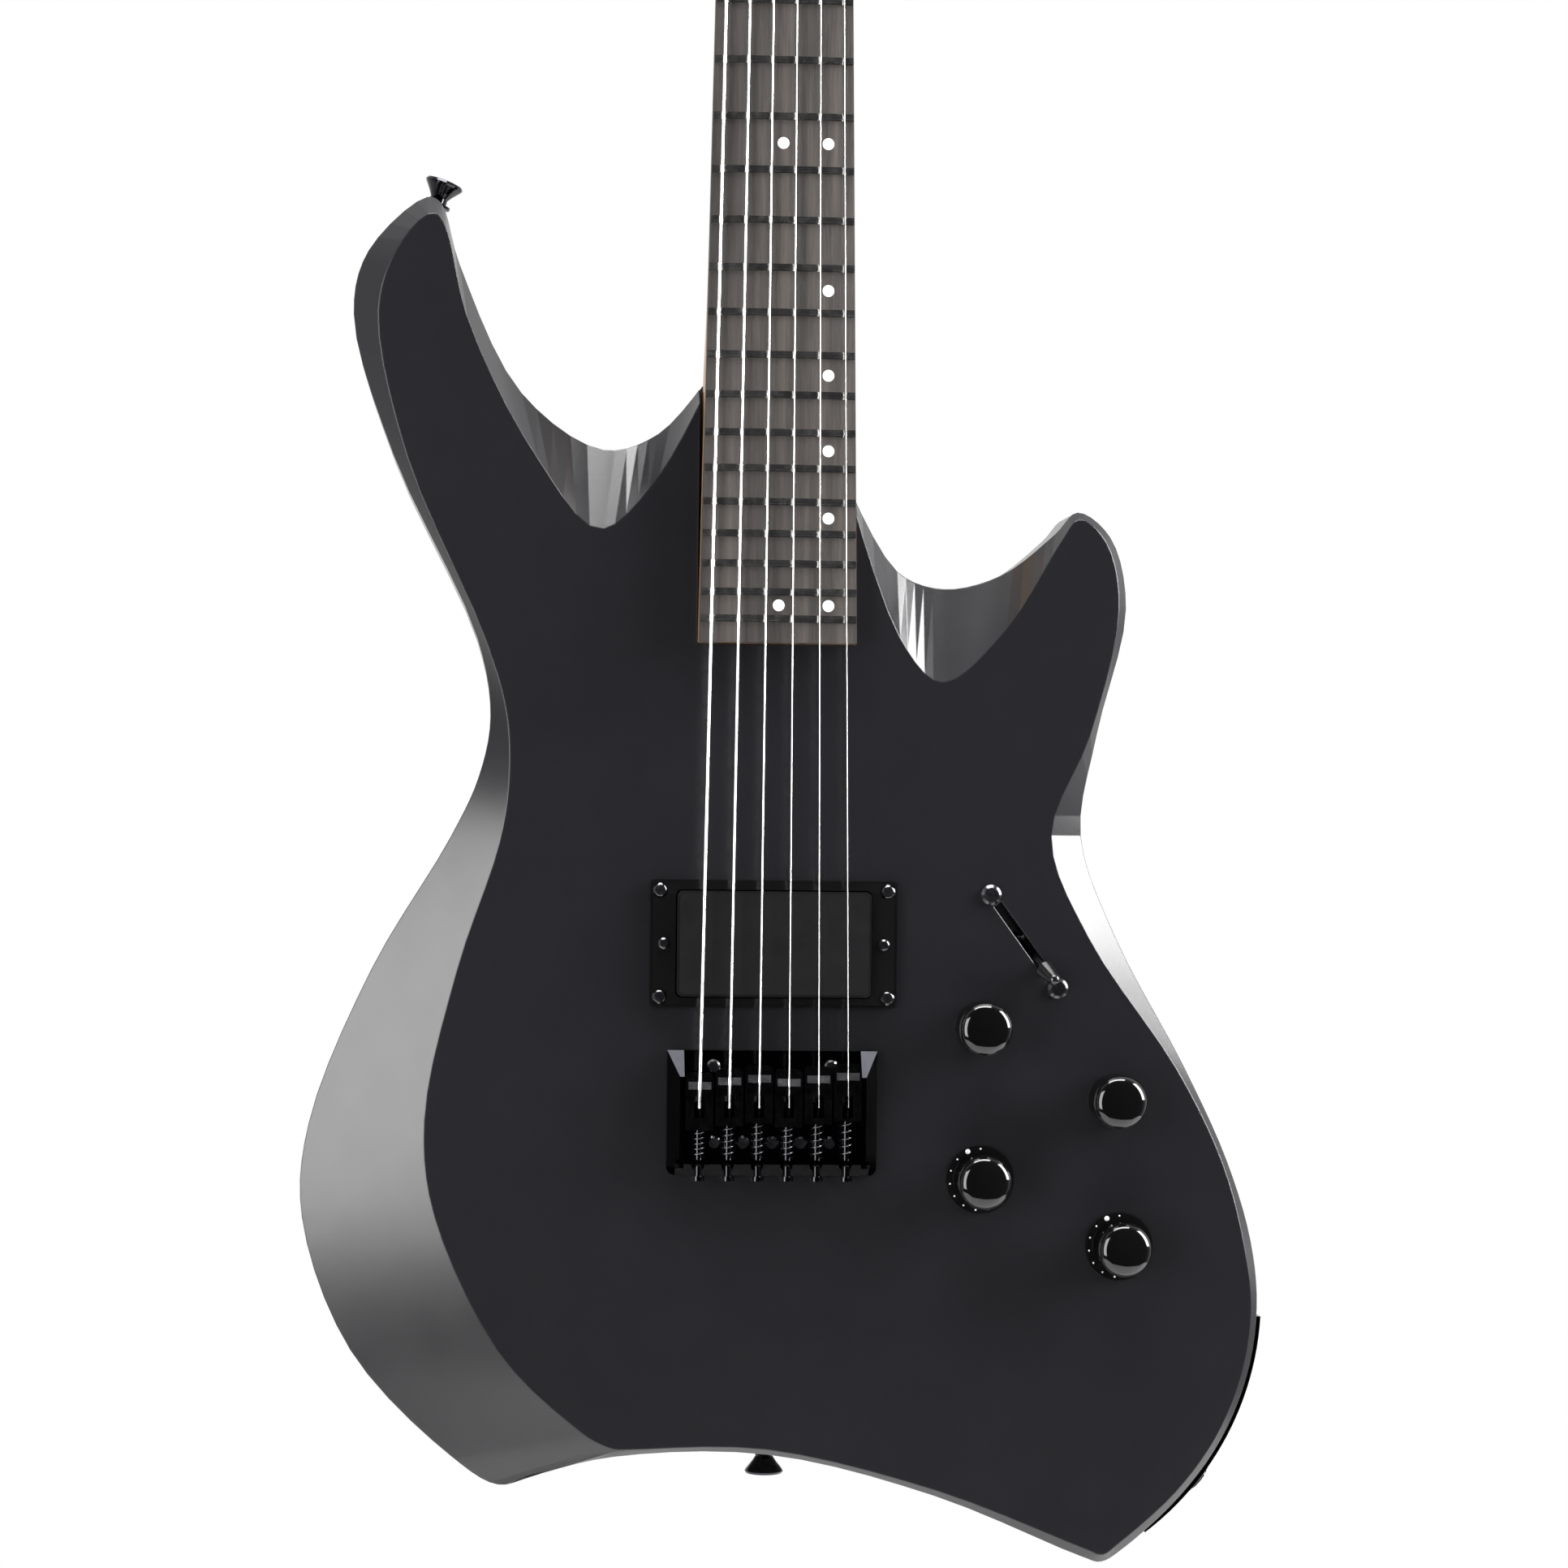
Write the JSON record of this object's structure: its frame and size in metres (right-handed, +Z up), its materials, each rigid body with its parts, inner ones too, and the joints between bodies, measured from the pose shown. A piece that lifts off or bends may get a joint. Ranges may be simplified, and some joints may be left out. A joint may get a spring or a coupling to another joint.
{
  "type": "electric guitar",
  "caption": "Solid-body electric guitar with carved horns, ring-mounted pickup, hardtail bridge with sliding saddles, knobs, blade selector and geared tuners.",
  "frame": {"origin": "seat of the lower strap button on the body's centre line at mid thickness", "axes": "+X to the treble side, front face toward -Y, +Z up along the neck"},
  "size_m": [0.3518, 0.0641, 1.0097],
  "materials": {
    "body_lacquer": "satin lacquer",
    "neck_wood": "satin oiled",
    "fretboard_wood": "open grain",
    "fret_metal": "polished",
    "dot_white": "satin",
    "nut_graphite": "matt",
    "rod_steel": "plain",
    "cover_plastic": "satin",
    "black_hardware": "black plated",
    "saddle_metal": "black plated",
    "key_metal": "black plated",
    "ring_gloss": "gloss",
    "pickup_satin": "fine texture",
    "coil_copper": "enamelled wire and resin",
    "spring_steel": "plain",
    "string_steel": "wound and plain",
    "knob_gloss": "gloss",
    "dial_plastic": "gloss",
    "pot_metal": "plain",
    "lever_tip": "gloss tip on a steel blade",
    "switch_steel": "zinc plated",
    "socket_plastic": "satin",
    "screw_bright": "polished",
    "battery_case": "wrapped",
    "board_green": "solder resist"
  },
  "bodies": {
    "root": {"body": "body_lacquer", "neck": "neck_wood", "fretboard": "fretboard_wood", "frets": "fret_metal", "inlays": "dot_white", "nut": "nut_graphite", "truss_rod": "rod_steel", "truss_cover": "cover_plastic", "neck_bolts": "black_hardware", "pickup_ring": "ring_gloss", "pickup_cover": "pickup_satin", "pickup_coils": "coil_copper", "pickup_screws": "black_hardware", "bridge_base": "black_hardware", "bridge_screws": "black_hardware", "string_ferrules": "black_hardware", "intonation_screws": "black_hardware", "intonation_springs": "spring_steel", "strings": "string_steel", "tuner_housings": "black_hardware", "tuner_bushings": "black_hardware", "dial_rings": "dial_plastic", "potentiometers": "pot_metal", "switch_frame": "switch_steel", "switch_screws": "black_hardware", "jack_plate": "black_hardware", "output_jack": "black_hardware", "digital_socket": "socket_plastic", "plate_screws": "screw_bright", "battery_pack": "battery_case", "circuit_board": "board_green", "control_cover": "cover_plastic", "battery_cover": "cover_plastic", "cover_screws": "black_hardware", "strap_buttons": "black_hardware"},
    "saddle_1_body": {"saddle_1": "saddle_metal"},
    "saddle_2_body": {"saddle_2": "saddle_metal"},
    "saddle_3_body": {"saddle_3": "saddle_metal"},
    "saddle_4_body": {"saddle_4": "saddle_metal"},
    "saddle_5_body": {"saddle_5": "saddle_metal"},
    "saddle_6_body": {"saddle_6": "saddle_metal"},
    "tuner_post_1_body": {"tuner_post_1": "black_hardware"},
    "tuner_post_2_body": {"tuner_post_2": "black_hardware"},
    "tuner_post_3_body": {"tuner_post_3": "black_hardware"},
    "tuner_post_4_body": {"tuner_post_4": "black_hardware"},
    "tuner_post_5_body": {"tuner_post_5": "black_hardware"},
    "tuner_post_6_body": {"tuner_post_6": "black_hardware"},
    "tuner_key_1_body": {"tuner_key_1": "key_metal"},
    "tuner_key_2_body": {"tuner_key_2": "key_metal"},
    "tuner_key_3_body": {"tuner_key_3": "key_metal"},
    "tuner_key_4_body": {"tuner_key_4": "key_metal"},
    "tuner_key_5_body": {"tuner_key_5": "key_metal"},
    "tuner_key_6_body": {"tuner_key_6": "key_metal"},
    "knob_volume_body": {"knob_volume": "knob_gloss"},
    "knob_tone_body": {"knob_tone": "knob_gloss"},
    "knob_model_body": {"knob_model": "knob_gloss"},
    "knob_tuning_body": {"knob_tuning": "knob_gloss"},
    "switch_lever_body": {"switch_lever": "lever_tip"}
  },
  "joints": [
    {"name": "saddle_slide_1", "type": "slide", "parent": "root", "child": "saddle_1_body", "axis": [0, 0, 1], "range_m": [-0.003, 0.003], "deforming": ["intonation_springs"]},
    {"name": "saddle_slide_2", "type": "slide", "parent": "root", "child": "saddle_2_body", "axis": [0, 0, 1], "range_m": [-0.003, 0.003], "deforming": ["intonation_springs"]},
    {"name": "saddle_slide_3", "type": "slide", "parent": "root", "child": "saddle_3_body", "axis": [0, 0, 1], "range_m": [-0.003, 0.003], "deforming": ["intonation_springs"]},
    {"name": "saddle_slide_4", "type": "slide", "parent": "root", "child": "saddle_4_body", "axis": [0, 0, 1], "range_m": [-0.003, 0.003], "deforming": ["intonation_springs"]},
    {"name": "saddle_slide_5", "type": "slide", "parent": "root", "child": "saddle_5_body", "axis": [0, 0, 1], "range_m": [-0.003, 0.003], "deforming": ["intonation_springs"]},
    {"name": "saddle_slide_6", "type": "slide", "parent": "root", "child": "saddle_6_body", "axis": [0, 0, 1], "range_m": [-0.003, 0.003], "deforming": ["intonation_springs"]},
    {"name": "key_turn_1", "type": "hinge", "parent": "root", "child": "tuner_key_1_body", "pos_m": [-0.01954, -0.0025, 0.8064], "axis": [-0.9646, 0, 0.2639], "continuous": true},
    {"name": "post_turn_1", "type": "hinge", "parent": "root", "child": "tuner_post_1_body", "pos_m": [-0.01727, -0.022, 0.8147], "axis": [0, 1, 0], "continuous": true},
    {"name": "key_turn_2", "type": "hinge", "parent": "root", "child": "tuner_key_2_body", "pos_m": [-0.01243, -0.0025, 0.8304], "axis": [-0.9646, 0, 0.2639], "continuous": true},
    {"name": "post_turn_2", "type": "hinge", "parent": "root", "child": "tuner_post_2_body", "pos_m": [-0.01016, -0.022, 0.8387], "axis": [0, 1, 0], "continuous": true},
    {"name": "key_turn_3", "type": "hinge", "parent": "root", "child": "tuner_key_3_body", "pos_m": [-0.00559, -0.0025, 0.8544], "axis": [-0.9646, 0, 0.2639], "continuous": true},
    {"name": "post_turn_3", "type": "hinge", "parent": "root", "child": "tuner_post_3_body", "pos_m": [-0.00332, -0.022, 0.8627], "axis": [0, 1, 0], "continuous": true},
    {"name": "key_turn_4", "type": "hinge", "parent": "root", "child": "tuner_key_4_body", "pos_m": [0.00099, -0.0025, 0.8784], "axis": [-0.9646, 0, 0.2639], "continuous": true},
    {"name": "post_turn_4", "type": "hinge", "parent": "root", "child": "tuner_post_4_body", "pos_m": [0.00325, -0.022, 0.8867], "axis": [0, 1, 0], "continuous": true},
    {"name": "key_turn_5", "type": "hinge", "parent": "root", "child": "tuner_key_5_body", "pos_m": [0.0073, -0.0025, 0.9024], "axis": [-0.9646, 0, 0.2639], "continuous": true},
    {"name": "post_turn_5", "type": "hinge", "parent": "root", "child": "tuner_post_5_body", "pos_m": [0.00956, -0.022, 0.9107], "axis": [0, 1, 0], "continuous": true},
    {"name": "key_turn_6", "type": "hinge", "parent": "root", "child": "tuner_key_6_body", "pos_m": [0.01334, -0.0025, 0.9264], "axis": [-0.9646, 0, 0.2639], "continuous": true},
    {"name": "post_turn_6", "type": "hinge", "parent": "root", "child": "tuner_post_6_body", "pos_m": [0.01561, -0.022, 0.9347], "axis": [0, 1, 0], "continuous": true},
    {"name": "knob_volume_turn", "type": "hinge", "parent": "root", "child": "knob_volume_body", "pos_m": [0.076, -0.0215, 0.155], "axis": [0, -1, 0], "range_deg": [-150, 150]},
    {"name": "knob_tone_turn", "type": "hinge", "parent": "root", "child": "knob_tone_body", "pos_m": [0.125, -0.0215, 0.129], "axis": [0, -1, 0], "range_deg": [-150, 150]},
    {"name": "knob_model_turn", "type": "hinge", "parent": "root", "child": "knob_model_body", "pos_m": [0.076, -0.0215, 0.1], "axis": [0, -1, 0], "range_deg": [-150, 150]},
    {"name": "knob_tuning_turn", "type": "hinge", "parent": "root", "child": "knob_tuning_body", "pos_m": [0.127, -0.0215, 0.076], "axis": [0, -1, 0], "range_deg": [-150, 150]},
    {"name": "selector_swing", "type": "hinge", "parent": "root", "child": "switch_lever_body", "pos_m": [0.0915, -0.0055, 0.1863], "axis": [0.807, 0, 0.5906], "range_deg": [-68, 0]}
  ],
  "couplings": [
    {"joint": "post_turn_1", "follows": "key_turn_1", "ratio": -0.0625},
    {"joint": "post_turn_2", "follows": "key_turn_2", "ratio": -0.0625},
    {"joint": "post_turn_3", "follows": "key_turn_3", "ratio": -0.0625},
    {"joint": "post_turn_4", "follows": "key_turn_4", "ratio": -0.0625},
    {"joint": "post_turn_5", "follows": "key_turn_5", "ratio": -0.0625},
    {"joint": "post_turn_6", "follows": "key_turn_6", "ratio": -0.0625}
  ]
}
